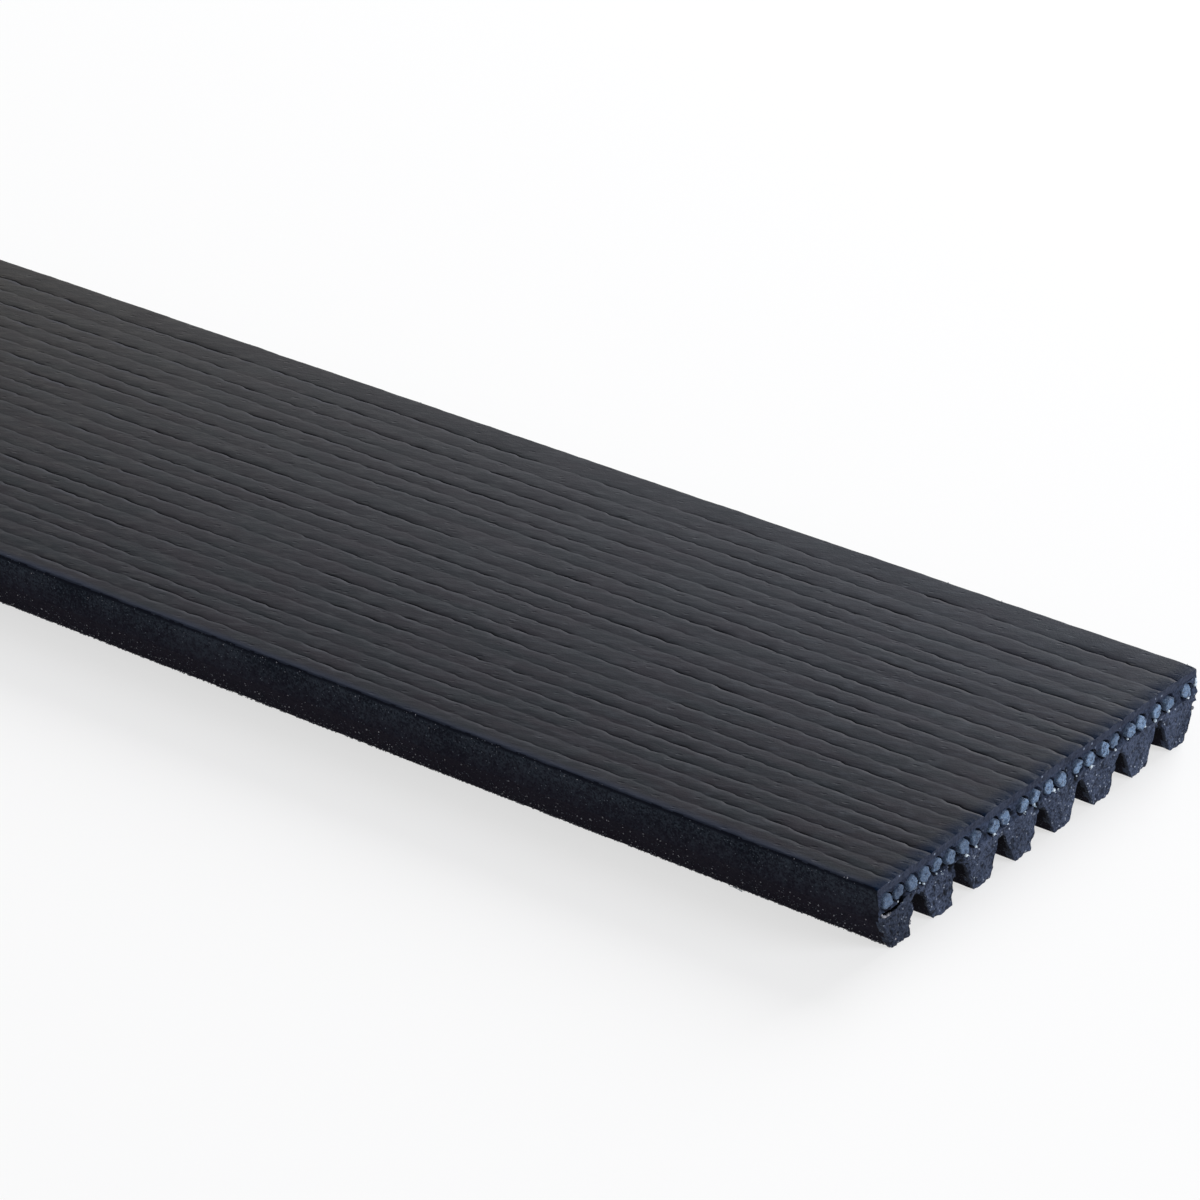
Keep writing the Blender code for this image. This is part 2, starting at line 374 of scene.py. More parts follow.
def makeCuredBack(s):
    # EPDM back rubber, cured under a wrap: satin, in soft warm and cool patches, with fine slanting folds
    material, tree, shader = newMaterial("EPDM back rubber, cured satin")
    patches, folds, grain = (
        addNode(tree, "TexNoise", {"Scale": 1.0, "Detail": detail, "Roughness": harsh},
                {"Vector": patternPlace(tree, *s[key])})
        for key, detail, harsh in (("patch", 4.0, 0.6), ("fold", 2.0, 0.5), ("grain", 2.0, 0.65)))
    pits = addNode(tree, "TexVoronoi", {"Scale": 1.0}, {"Vector": patternPlace(tree, *s["pit"])})
    axes = beltAxes(tree)

    # pale dust and painted sheen on the folds, and more of both towards the far side and the far end
    across = addNode(tree, "Math", {"operation": "MULTIPLY_ADD", 1: s["dustAndSheenTurn"]},
                     {0: axes["X"], 2: axes["Y"]})
    dustAndSheen = addNode(tree, "MapRange",
                   {"From Min": -s["dustAndSheenReach"] * mm, "From Max": s["dustAndSheenReach"] * mm,
                    "To Min": s["dustAndSheen"][0], "To Max": s["dustAndSheen"][1]}, {"Value": across})
    raised = addNode(tree, "MapRange", {"From Min": s["foldRange"][0], "From Max": s["foldRange"][1],
                                        "To Max": s["foldDustAndSheen"]}, {"Value": folds})
    paleness = addNode(tree, "Math", {"operation": "ADD", "use_clamp": True}, {0: dustAndSheen, 1: raised})
    alongBelt = addNode(tree, "MapRange", {"From Min": -cutEnd, "From Max": cutEnd}, {"Value": axes["X"]})
    rubber = addNode(tree, "Mix", {"data_type": "RGBA"},
                     {0: paleness, 6: twoTone(tree, patches, s["cool"], s["warm"], *s["patchRange"]),
                      7: twoTone(tree, alongBelt, s["farDustAndSheen"], s["nearDustAndSheen"], 0.0, 1.0)})

    # bluish where the grinder touched the near side, and painted shade where the blade bent the top down at
    # the cuts, a little less on the far side
    bands = []
    for axis, operation, limit, band in (("Y", "MULTIPLY", backSide, s["rimBand"]),
                                         ("X", "ABSOLUTE", cutEnd, s["edgeShadeBand"])):
        away = addNode(tree, "Math", {"operation": operation, 1: -1.0}, {0: axes[axis]})
        ragged = addNode(tree, "Math", {"operation": "MULTIPLY_ADD", 1: band * mm}, {0: patches, 2: away})
        bands.append(addNode(tree, "MapRange", {"From Min": limit - 0.5 * band * mm,
                                                "From Max": limit + 0.35 * band * mm}, {"Value": ragged}))
    nearer = addNode(tree, "MapRange", {"From Min": frontSide, "From Max": backSide,
                                        "To Min": 1.0, "To Max": s["farEdgeShade"]}, {"Value": axes["Y"]})
    edgeShade = addNode(tree, "Math", {"operation": "MULTIPLY"}, {0: bands[1], 1: nearer})
    # painted highlight on the creases' near rims, and painted shade in the crease bottoms and torn spots
    wearAndRimHighlight, hollow = (addNode(tree, "Attribute", {"attribute_name": name}).outputs["Fac"]
                    for name in ("wearAndRimHighlight", "hollow"))
    colour = coats(tree, rubber, ((s["rim"], bands[0]), (s["edgeShade"], edgeShade), (s["wearAndRimHighlight"], wearAndRimHighlight),
                                  (s["deep"], hollow)))

    gloss = addNode(tree, "MapRange", {"To Min": s["roughness"][0], "To Max": s["roughness"][1]},
                    {"Value": patches})
    relief = grain
    sunk = addNode(tree, "MapRange", {"From Max": s["pitSize"]}, {"Value": pits})
    for depth, pattern in ((s["foldDepth"], folds), (s["pitDepth"], sunk)):
        relief = addNode(tree, "Math", {"operation": "MULTIPLY_ADD", 1: depth / s["grainDepth"]},
                         {0: pattern, 2: relief})
    bump = addNode(tree, "Bump", {"Distance": s["grainDepth"] * mm}, {"Height": relief})
    setUp(tree, shader, {"Specular IOR Level": s["specular"]},
          {"Base Color": colour, "Roughness": gloss, "Normal": bump})
    return material


cutRubber = {
    # the near-black colour is painted shade where the meshes mark hollows hidden from the light
    "dark": "#161b28", "mid": "#4b556b", "speck": "#a9b3c3", "deep": "#04060b", "contrast": (0.56, 0.90),
    "grit": 0.13, "tone": 3.4, "toneShare": 0.45,
    "speckCell": 0.15, "speckShare": 0.16, "speckSize": (0.18, 0.45), "speckHeight": 0.6,
    "relief": 0.05, "roughness": (0.55, 0.85), "specular": 0.10,
}
cutGum = dict(cutRubber, dark="#161c2a", mid="#394358", speck="#8693a6", tone=3.0, speckCell=0.18,
              speckShare=0.07, relief=0.03, specular=0.08)
cutBack = dict(cutRubber, dark="#232836", mid="#363d4e", speck="#7c8799", grit=0.15, tone=2.2, speckCell=0.20,
               speckShare=0.035, relief=0.014, roughness=(0.55, 0.8), specular=0.08)
groundRubber = dict(cutRubber, dark="#0d121c", mid="#363d47", speck="#757d88", contrast=(0.62, 0.86),
                    grit=0.14, tone=5.0, speckCell=0.10, speckShare=0.06, roughness=(0.65, 0.95),
                    specular=0.05, flank="#1d1924", flankFrom=(-1.6, 0.7), flankShare=0.90,
                    flankSpecks=0.30, flankSpeckTop=1.6, toneDrift=-1.4, blotDrift=-5.0,
                    blot=0.55, blotRange=(0.54, 0.66), blotShare=0.6,
                    line="#080c18", lineFrom=(0.01, 0.10), lineRagged=0.60, lineShare=0.95)


def makeGrittyRubber(name, s):
    # rubber full of short fibres: where it is cut or ground, their ends stand out as pale grit
    material, tree, shader = newMaterial(name)
    grit, tone = (addNode(tree, "TexNoise", {"Scale": 1.0, "Detail": detail, "Roughness": harsh},
                          {"Vector": patternPlace(tree, s[key])})
                  for key, detail, harsh in (("grit", 3.0, 0.7), ("tone", 2.0, 0.5)))
    shade = addNode(tree, "Math", {"operation": "MULTIPLY_ADD", 1: s["toneShare"]}, {0: tone, 2: grit})
    body = twoTone(tree, shade, s["dark"], s["mid"], *s["contrast"])
    cells = addNode(tree, "TexVoronoi", {"Scale": 1.0}, {"Vector": patternPlace(tree, s["speckCell"])})
    luck = addNode(tree, "SeparateColor", links={"Color": cells.outputs["Color"]})
    few = 1 - s["speckShare"]
    bright = addNode(tree, "MapRange", {"From Min": few}, {"Value": luck})
    if "flank" in s:
        # below the web the ground flank is painted darker and more purple, its darkness partly painted shade,
        # and its grit is denser, and the top edge has a dark line
        height = beltAxes(tree)["Z"]
        blots = addNode(tree, "TexNoise", {"Scale": 1.0, "Detail": 4.0, "Roughness": 0.75},
                        {"Vector": patternPlace(tree, s["blot"])})
        drift = height
        for pattern, run in ((tone, s["toneDrift"]), (blots, s["blotDrift"])):
            drift = addNode(tree, "Math", {"operation": "MULTIPLY_ADD", 1: run * mm}, {0: pattern, 2: drift})
        low, high = s["flankFrom"]
        below = addNode(tree, "MapRange", {"From Min": low * mm, "From Max": high * mm,
                                           "To Min": s["flankShare"], "To Max": 0.0}, {"Value": drift})
        dull = addNode(tree, "MapRange", {"From Min": s["blotRange"][0], "From Max": s["blotRange"][1],
                                          "To Max": s["blotShare"]}, {"Value": blots})
        ragged = addNode(tree, "Math", {"operation": "MULTIPLY_ADD", 1: s["lineRagged"] * mm},
                         {0: grit, 2: height})
        line = addNode(tree, "MapRange", {"From Min": backHigh[2] + s["lineFrom"][0] * mm,
                                          "From Max": backHigh[2] + s["lineFrom"][1] * mm,
                                          "To Max": s["lineShare"]}, {"Value": ragged})
        body = coats(tree, body, ((s["flank"], below), (s["dark"], dull), (s["line"], line)))
        denser = addNode(tree, "MapRange", {"From Max": s["flankSpeckTop"] * mm, "To Max": few,
                                            "To Min": few - s["flankSpecks"]}, {"Value": height})
        setUp(tree, bright, links={"From Min": denser})
    near = addNode(tree, "MapRange", {"From Min": s["speckSize"][0], "From Max": s["speckSize"][1],
                                      "To Min": 1.0, "To Max": 0.0}, {"Value": cells})
    fibre = addNode(tree, "Math", {"operation": "MULTIPLY"}, {0: bright, 1: near})
    # painted shade: near-black where the mesh marks hollows hidden from the light, such as torn pits, the
    # split and the grooves
    hollow = addNode(tree, "Attribute", {"attribute_name": "hollow"}).outputs["Fac"]
    colour = coats(tree, body, ((s["speck"], fibre), (s["deep"], hollow)))
    gloss = addNode(tree, "MapRange", {"To Min": s["roughness"][1], "To Max": s["roughness"][0]},
                    {"Value": grit})
    raised = addNode(tree, "Math", {"operation": "MULTIPLY_ADD", 1: s["speckHeight"]}, {0: fibre, 2: grit})
    bump = addNode(tree, "Bump", {"Distance": s["relief"] * mm}, {"Height": raised})
    setUp(tree, shader, {"Specular IOR Level": s["specular"]},
          {"Base Color": colour, "Roughness": gloss, "Normal": bump})
    return material


cutYarn = {
    "shade": "#33445c", "yarn": "#6d86a5", "tip": "#c3d3e3", "smear": "#2b3447",
    "bundle": 0.22, "filament": 0.08, "smearSize": 0.36, "smearFrom": 0.58, "smearShare": 0.60, "film": 0.72,
    "relief": 0.03, "roughness": 0.5, "specular": 0.12,
}
# the broken filaments are pale, and their near-white colour is partly a painted glint
brokenYarnAndGlint = dict(cutYarn, shade="#93a9bd", yarn="#d3e0ea", tip="#f2f7fb", smearFrom=0.95, film=0.0,
                  specular=0.4)
tornGrit = dict(cutYarn, shade="#3f4049", yarn="#96979f", tip="#cdc9cf", smearFrom=0.60, film=0.0)


def makeYarn(name, s):
    # dipped polyester yarn: packed filaments, steel blue where the blade went through them
    material, tree, shader = newMaterial(name)
    bundles, dirt = (addNode(tree, "TexNoise", {"Scale": 1.0}, {"Vector": patternPlace(tree, s[key])})
                     for key in ("bundle", "smearSize"))
    filaments = addNode(tree, "TexVoronoi", {"Scale": 1.0}, {"Vector": patternPlace(tree, s["filament"])})
    ends = addNode(tree, "MapRange", {"From Max": 0.5, "To Min": 0.6, "To Max": 0.0}, {"Value": filaments})

    # rubber that the blade dragged over the cords, on some of them as a whole film
    smear = addNode(tree, "MapRange", {"From Min": s["smearFrom"], "From Max": s["smearFrom"] + 0.16,
                                       "To Max": s["smearShare"]}, {"Value": dirt})
    film = addNode(tree, "Attribute", {"attribute_name": "film"}).outputs["Fac"]
    film = addNode(tree, "Math", {"operation": "MULTIPLY", 1: s["film"]}, {0: film})
    cover = addNode(tree, "Math", {"operation": "MAXIMUM"}, {0: film, 1: smear})
    colour = coats(tree, twoTone(tree, bundles, s["shade"], s["yarn"], 0.34, 0.56),
                   ((s["tip"], ends), (s["smear"], cover)))
    bump = addNode(tree, "Bump", {"Distance": s["relief"] * mm}, {"Height": ends})
    setUp(tree, shader, {"Roughness": s["roughness"], "Specular IOR Level": s["specular"]},
          {"Base Color": colour, "Normal": bump})
    return material


backMaterial = makeCuredBack(curedBack)
cutMaterial = makeGrittyRubber("EPDM rib rubber, knife cut", cutRubber)
gumMaterial = makeGrittyRubber("cushion gum, knife cut", cutGum)
backCutMaterial = makeGrittyRubber("EPDM back rubber, knife cut", cutBack)
sideMaterial = makeGrittyRubber("EPDM rib rubber, ground", groundRubber)
yarnMaterial = makeYarn("dipped polyester cord, knife cut", cutYarn)
brokenYarnAndGlintMaterial = makeYarn("polyester filaments, broken off, with painted glints", brokenYarnAndGlint)
gritMaterial = makeYarn("rubber and fibre crumbs, torn", tornGrit)
print("materials made")


paint = {
    "topFacing": 0.35, "endFacing": 0.40, "endDepth": 0.35, "spreadLumps": (1.2, 0.5), "sideMargin": 0.1,
}


def paintByPlace(obj, wallMaterial, faceMaterial, topMaterial=None, spread=0.0):
    # the cut ends, the long walls and the top are finished in different ways
    for material in [wallMaterial, faceMaterial] + ([topMaterial] if topMaterial else []):
        obj.data.materials.append(material)
    centres, normals = readFaces(obj)
    index = np.zeros(len(centres), dtype=int)
    if topMaterial:
        index[normals[:, 2] > paint["topFacing"]] = 2
    depth = cutEnd - np.abs(centres[:, 0])
    index[(depth < paint["endDepth"] * mm) & (np.abs(normals[:, 0]) > paint["endFacing"])] = 1
    if spread:
        # the torn surface runs on a little way into the grooves
        inner = np.abs(centres[:, 1]) < backSide - paint["sideMargin"] * mm
        near = np.nonzero((depth < 3 * spread * mm) & inner)[0]
        edge = spread * (1 + bumps(paint["spreadLumps"], centres[near], 71)) * mm
        index[near[depth[near] < edge]] = 1
    obj.data.polygons.foreach_set("material_index", index)
    obj.data.update()


def finishPiece(obj, node=None, angle=40):
    pick(obj)
    bpy.ops.object.shade_smooth_by_angle(angle=math.radians(angle), keep_sharp_edges=False)
    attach(obj, "root")
    if node:
        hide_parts(node)


# Back cover: the creases lie over the spaces between the cords

backCover = {
    "step": 0.36, "nearEnd": (0.0, 0.05, 0.11, 0.18, 0.27, 0.40, 0.60),
    "edge": (0.0, 0.02, 0.06, 0.14, 0.28), "edgeRound": 0.07,
    # across a crease, from the near side to the far one, and the share of its depth there:
    # a soft rim, a narrow bottom, a steep step and a far land that slopes down to it
    "profile": ((-0.34, 0.0), (-0.23, 0.05), (-0.13, 0.19), (-0.05, 0.45), (0.0, 1.0), (0.05, 0.52),
                (0.12, 0.36), (0.22, 0.19), (0.38, 0.0)),
    # where across a crease the painted shade at its bottom lies, and how dark
    "core": ((-0.04, 0.0), (0.0, 1.0), (0.05, 1.0), (0.12, 0.36), (0.20, 0.0)),
    # where across a crease its near rim gets the painted highlight, and how much
    "rim": ((-0.34, 0.0), (-0.23, 0.55), (-0.13, 1.0), (-0.05, 0.9), (0.0, 0.0)),
    "landCuts": 3, "crown": 0.022,             # the lands are a little crowned
    "wave": 0.09, "waveLength": 31.0,          # the slow sway of each crease, as in the solid
    "wobble": (0.030, 4.5), "quiver": (0.018, 1.3),   # and its quicker ones, with their lengths
    "slant": 0.14, "slantLength": 1.8,         # a crease is a row of short slanting folds
    "fullGap": 0.5, "depth": 0.076,            # the crease is this deep over a space this wide
    # lengths over which a crease's strength, its dashes and the painted shade at its bottom change
    "swell": 6.5, "dash": 1.5, "gap": 1.1, "weakest": 0.22, "strongest": 1.2, "dashStrength": (0.36, 0.78),
    "ripple": 0.019, "rippleSizes": (2.1, 0.9, 0.4), "endRoll": 0.35, "endDrop": 0.05, "wallRows": 4,
    "edgeLumps": (0.9, 0.8), "endLumps": (0.6, 0.7),
    "hollowShade": 0.78,                       # how black the bottom of the deepest crease is
}


def creasePlaces(s):
    # (place across, share of the full depth) of each crease
    places = []
    for left, right in zip(cordPlaces, cordPlaces[1:]):
        gap = right[0] - left[0] - 2 * cordRadius
        places.append(((left[0] + right[0]) / 2, min(1.0, gap / (s["fullGap"] * mm)) ** 0.75))
    return places


def creasePaths(s, creases, rows):
    # how far each crease has strayed sideways, and how strong it is, at each row along the belt
    sway = np.zeros((len(creases) + 2, len(rows)))
    strength = np.zeros_like(sway)
    for i, (place, share) in enumerate(creases):
        turn = 2 * math.pi * rows / (s["waveLength"] * mm)
        path = s["wave"] * (0.65 * np.sin(turn + 1.7 * i) + 0.35 * np.sin(2.3 * turn + 2.9 * i))
        for (height, length), seed in ((s["wobble"], i + 1), (s["quiver"], i + 31)):
            path += height * waver(rows, length * mm, seed)
        fold = rows / (s["slantLength"] * mm) + 1.3 * waver(rows, 5.0 * mm, i + 121) + 0.37 * i
        along = fold - np.floor(fold)          # 0 at the start of a fold, 1 at its end
        path += s["slant"] * (along - 0.5) * smoothstep(0.0, 0.12, along) * smoothstep(0.0, 0.2, 1 - along)
        dash = smoothstep(-0.20, 0.22, waver(rows, s["dash"] * mm, i + 91) + 0.25 * np.sin(math.pi * along))
        slow = 0.66 + 1.1 * waver(rows, s["swell"] * mm, i + 61) + 0.15 * math.cos(2.4 * i)
        sway[i + 1] = path
        base, more = s["dashStrength"]
        strength[i + 1] = share * np.clip(slow, s["weakest"], s["strongest"]) * (base + more * dash)
    gaps = [waver(rows, s["gap"] * mm, i + 151) for i in range(len(sway))]
    return sway, strength, smoothstep(-0.02, 0.24, np.array(gaps))


def creasedTop(s, x, y, row, rows, creases):
    # lays the points of the flat sheet on the creased, rolled top
    lines = np.array([frontSide] + [place for place, share in creases] + [backSide])
    before, after = -s["profile"][0][0] * mm, s["profile"][-1][0] * mm
    sway, strength, broken = creasePaths(s, creases, rows)
    left = np.clip(np.searchsorted(lines, y, side="right") - 1, 0, len(lines) - 2)
    start, end = lines[left], lines[left + 1]
    between = np.clip((y - start - after) / (end - start - after - before), 0.0, 1.0)
    shift = (1 - between) * sway[left, row] + between * sway[left + 1, row]
    nearest = np.where(y - start < after + 0.01 * mm, left, left + 1)
    away = (y - lines[nearest]) / mm
    fold = np.interp(away, *zip(*s["profile"]), left=0.0, right=0.0)
    crown = s["crown"] * (2 * (y - start) / (end - start) - 1) ** 2
    sunk = s["depth"] * strength[nearest, row] * fold + crown
    points = np.stack([x, y + shift * mm, backHigh[2] - sunk * mm], axis=1)
    deep, gap = strength[nearest, row], broken[nearest, row]
    core, rim = (np.interp(away, *zip(*s[key]), left=0.0, right=0.0) for key in ("core", "rim"))
    # painted shade at the bottom of each crease, in broken dashes
    hollow = s["hollowShade"] * core * smoothstep(0.05, 0.75, deep) * (0.10 + 0.90 * gap)
    # a painted highlight on the near rim of each crease, weaker where the crease breaks
    wearAndRimHighlight = rim * smoothstep(0.05, 0.75, deep) * (0.45 + 0.55 * gap)

    slanted = np.stack([x * 0.45, points[:, 1] - 0.30 * x, points[:, 2]], axis=1)
    wide, middle, small = (size * mm for size in s["rippleSizes"])
    ripple = lumps(slanted, wide, 45) + lumps(slanted, middle, 41) + 0.8 * lumps(slanted, small, 43)
    points[:, 2] += s["ripple"] * ripple * mm
    fromSide = np.minimum(points[:, 1] - frontSide, backSide - points[:, 1]) / mm
    inEdge = np.clip(s["edgeRound"] - fromSide, 0, s["edgeRound"])
    edgeDrop = s["edgeRound"] - np.sqrt(np.maximum(s["edgeRound"] ** 2 - inEdge ** 2, 0))
    points[:, 2] -= edgeDrop * (1 + bumps(s["edgeLumps"], points, 47)) * mm
    toCut = (cutEnd - np.abs(points[:, 0])) / mm
    roll = np.clip(1 - toCut / s["endRoll"], 0, 1) ** 2
    points[:, 2] -= s["endDrop"] * roll * (1 + bumps(s["endLumps"], points, 53)) * mm
    return points, hollow, wearAndRimHighlight


def makeBackCover(s):
    creases = creasePlaces(s)
    places = [p * mm for p, share in s["profile"]]
    columns = [frontSide + d * mm for d in s["edge"]] + [backSide - d * mm for d in s["edge"]]
    for place, share in creases:
        columns += [place + p for p in places]
    for (left, _), (right, _) in zip(creases, creases[1:]):
        room = right + places[0] - left - places[-1]
        columns += [left + places[-1] + room * k / (s["landCuts"] + 1) for k in range(1, s["landCuts"] + 1)]
    columns = np.array(sorted(columns))
    rows = stations(s["nearEnd"], s["step"])
    sheet, row, column = gridSheet("creasedBack", len(rows), len(columns))
    points, hollow, wearAndRimHighlight = creasedTop(s, rows[row], columns[column], row, rows, creases)
    writePoints(sheet, points)

    # the walls go down from the open edge to the cushion in equal steps, and a flat face closes them
    for k in range(s["wallRows"]):
        with editing(sheet, "EDGE", np.zeros(len(sheet.data.edges))):
            bpy.ops.mesh.select_non_manifold()
            bpy.ops.mesh.extrude_region_move(TRANSFORM_OT_translate={"value": (0, 0, 0)})
        lowest = np.zeros(len(sheet.data.vertices), dtype=bool)
        sheet.data.vertices.foreach_get("select", lowest)
        points = readPoints(sheet)
        points[lowest, 2] -= (points[lowest, 2] - backLow[2]) / (s["wallRows"] - k)
        writePoints(sheet, points)
    with editing(sheet, "EDGE", np.zeros(len(sheet.data.edges))):
        bpy.ops.mesh.select_non_manifold()
        bpy.ops.mesh.edge_face_add()
    turnFacesOut(sheet)
    roughenSides(sheet, sawnSide)
    below = np.zeros(len(sheet.data.vertices) - len(hollow))
    storeShare(sheet, "wearAndRimHighlight", np.concatenate([wearAndRimHighlight, below]))
    roughenCuts(sheet, bladeCut, np.concatenate([hollow, below]))
    return sheet


back = makeBackCover(backCover)
paintByPlace(back, sideMaterial, backCutMaterial, backMaterial)
finishPiece(back, "back_cover")
print("back cover made:", len(back.data.polygons), "faces")


# Ribbed body

ribs = {
    "count": 8, "tipFlat": 1.46, "tipRound": 0.10, "grooveAngle": 40.0, "rootRadius": 0.43,
    "tipCuts": 9, "flankCuts": 9, "rootCuts": 5, "rows": 21,
    "step": 0.62, "nearEnd": (0.0, 0.07, 0.15, 0.24, 0.35, 0.5, 0.8, 1.2, 1.8, 2.5),
    # the split under the first cords, and the height above which the rubber sinks with it
    "splitFrom": 0.40, "splitWidth": 2.20, "splitHeight": 0.26, "splitDepth": 2.5, "splitGrowth": 0.6,
    "sagFrom": 1.1,
    "jagged": 0.06, "firstRibShade": 0.40, "grooveShade": 0.60,
}


def ribFloor(u, s):
    # height of the underside at a distance u from a rib's middle, in millimetres
    tilt = math.radians(s["grooveAngle"] / 2)
    half = (backSide - frontSide) / mm / s["count"] / 2
    rootCentre = (half - s["tipFlat"] / 2) / math.tan(tilt) - s["rootRadius"] / math.sin(tilt)
    flank = (u - s["tipFlat"] / 2) / math.tan(tilt)
    soft = s["tipRound"]
    tip = np.where(flank > soft, flank, np.where(flank > -soft, (flank + soft) ** 2 / (4 * soft), 0.0))
    reach = s["rootRadius"] * math.cos(tilt)
    arch = rootCentre + np.sqrt(np.maximum(s["rootRadius"] ** 2 - (half - u) ** 2, 0.0))
    return np.where(u > half - reach, arch, tip)


def makeRibbedBody(s):
    pitch = (backSide - frontSide) / mm / s["count"]
    half = pitch / 2
    tipEdge = s["tipFlat"] / 2 + 0.04
    rootEdge = half - s["rootRadius"] * math.cos(math.radians(s["grooveAngle"] / 2))
    fromMiddle = [tipEdge * k / s["tipCuts"] for k in range(s["tipCuts"])]
    fromMiddle += [tipEdge + (rootEdge - tipEdge) * k / s["flankCuts"] for k in range(s["flankCuts"])]
    fromMiddle += [rootEdge + (half - rootEdge) * k / s["rootCuts"] for k in range(s["rootCuts"] + 1)]
    columns, floors = [], []
    for rib in range(s["count"]):
        middle = frontSide / mm + (rib + 0.5) * pitch
        places = sorted({-u for u in fromMiddle} | set(fromMiddle))
        if rib:
            places = places[1:]                # shared with the rib before
        columns += [middle + u for u in places]
        floors += list(ribFloor(np.abs(np.array(places)), s))
    section, column, level = gridSheet("ribbedBody", len(columns), s["rows"] + 1)
    y = np.array(columns)[column] * mm
    low = np.array(floors)[column] * mm
    z = low + (ribHigh[2] - low) * level / s["rows"]
    pullThrough(section, y, z, s)

    # the split under the first cords: the top sinks, most at the seen cut
    points = readPoints(section)
    across = (points[:, 1] - frontSide) / mm
    inward = (cutEnd - points[:, 0]) / mm
    width = smoothstep(s["splitFrom"] - 0.05, s["splitFrom"] + 0.12, across)
    width *= 1 - smoothstep(s["splitFrom"] + s["splitWidth"] - 0.5, s["splitFrom"] + s["splitWidth"], across)
    within = np.clip(1 - inward / s["splitDepth"], 0, 1)
    within *= 1 + s["splitGrowth"] * smoothstep(0.0, 0.25, inward)
    sag = s["splitHeight"] * width * within
    upper = smoothstep(s["sagFrom"], ribHigh[2] / mm, points[:, 2] / mm)
    unlit = width * smoothstep(0.02, 0.07, inward) * smoothstep(0.75, 0.98, upper)
    unlit *= inward < s["splitDepth"]
    points[:, 2] -= sag * upper * mm
    writePoints(section, points)
    unlit = np.maximum(unlit, s["firstRibShade"] * (1 - smoothstep(2.4, 3.7, across)) * (inward < 0.6))
    # painted shade: the grooves are painted black towards their roots, all along the belt
    outside = pitch / 2 - s["tipFlat"] / 2 - 0.05
    grooved = (across > outside) & (across < s["count"] * pitch - outside)
    grooved &= np.abs(inward / (cutEnd / mm) - 1) < 1 - 1e-4
    unlit = np.maximum(unlit, s["grooveShade"] * grooved * smoothstep(0.2, 1.0, points[:, 2] / mm))
    storeShare(section, "unlit", unlit)
    mergeHidden(section, 1, ribHigh[2], s["splitDepth"] + 0.3)

    # grinding leaves the rib corners a little uneven along the belt
    points = readPoints(section)
    lower = np.nonzero(points[:, 2] < ribHigh[2] - 0.45 * mm)[0]
    spot = points[lower] * (0.7, 1.0, 1.0)
    points[lower, 1] += s["jagged"] * 0.5 * lumps(spot, 0.6 * mm, 61) * mm
    points[lower, 2] += s["jagged"] * np.maximum(lumps(spot, 0.5 * mm, 67), 0) * mm
    writePoints(section, points)
    roughenSides(section, sawnSide)
    unlit = np.empty(len(section.data.vertices), dtype=np.float32)
    section.data.attributes["unlit"].data.foreach_get("value", unlit)
    section.data.attributes.remove(section.data.attributes["unlit"])
    roughenCuts(section, bladeCut, unlit.astype(float))
    return section


body = makeRibbedBody(ribs)
paintByPlace(body, sideMaterial, cutMaterial, spread=0.32)
finishPiece(body, "ribbed_body")
print("ribbed body made:", len(body.data.polygons), "faces")


# Cushion that the cords lie in

cushion = {
    "column": 0.10, "rows": 12, "step": 0.62, "nearEnd": (0.0, 0.07, 0.15, 0.24, 0.35, 0.5, 0.8),
    "channelSides": 20, "bond": 0.03, "flare": 0.10, "flareDepth": 0.30, "overshoot": 1.0,
}


def makeChannels(s):
    # round cutters that open out at both cuts, where the rubber drew back from the cords
    cutters = []
    for n, (y, z) in enumerate(cordPlaces):
        length = 2 * (cutEnd + s["overshoot"] * mm)
        cutter = rod(s["channelSides"], cordRadius + s["bond"] * mm, length, (0, y, z))
        for side in (-1, 1):
            flareStart = side * (cutEnd - s["flareDepth"] * mm)
            with editing(cutter):
                bpy.ops.mesh.bisect(plane_co=(flareStart, 0, 0), plane_no=(1, 0, 0))
        points = readPoints(cutter)
        outer = np.nonzero(np.abs(points[:, 0]) > cutEnd)[0]
        away = points[outer][:, 1:] - (y, z)
        angle = np.arctan2(away[:, 1], away[:, 0])
        rise = 1 + 0.55 * np.cos(angle + 0.9 + 0.4 * math.sin(5 * n)) + 0.3 * np.cos(3 * angle + 2 * n)
        room = np.clip(s["flare"] * rise, 0.02, 0.14) * mm
        grow = 1 + room * (s["flareDepth"] + s["overshoot"]) / s["flareDepth"] / cordRadius
        points[outer, 1:] = (y, z) + away * grow[:, None]
        writePoints(cutter, points)
        cutters.append(cutter)
    return joinAll(cutters)


def makeCushion(s):
    count = round((backSide - frontSide) / (s["column"] * mm)) + 1
    section, column, level = gridSheet("cordCushion", count, s["rows"] + 1)
    y = frontSide + (backSide - frontSide) * column / (count - 1)
    z = cushionLow[2] + (cushionHigh[2] - cushionLow[2]) * level / s["rows"]
    pullThrough(section, y, z, s)
    mergeHidden(section, 1, cushionHigh[2])
    mergeHidden(section, -1, cushionLow[2])
    cutter = makeChannels(s)
    modifier = section.modifiers.new("channels", "BOOLEAN")
    modifier.operation = "DIFFERENCE"
    modifier.solver = "EXACT"
    modifier.use_self = True
    modifier.object = cutter
    pick(section)
    bpy.ops.object.modifier_apply(modifier=modifier.name)
    bpy.data.objects.remove(cutter, do_unlink=True)
    roughenSides(section, sawnSide)
    roughenCuts(section, bladeCut)
    return section


gum = makeCushion(cushion)
paintByPlace(gum, sideMaterial, gumMaterial)
finishPiece(gum, "cord_cushion")
print("cushion made:", len(gum.data.polygons), "faces")


# Tensile cords

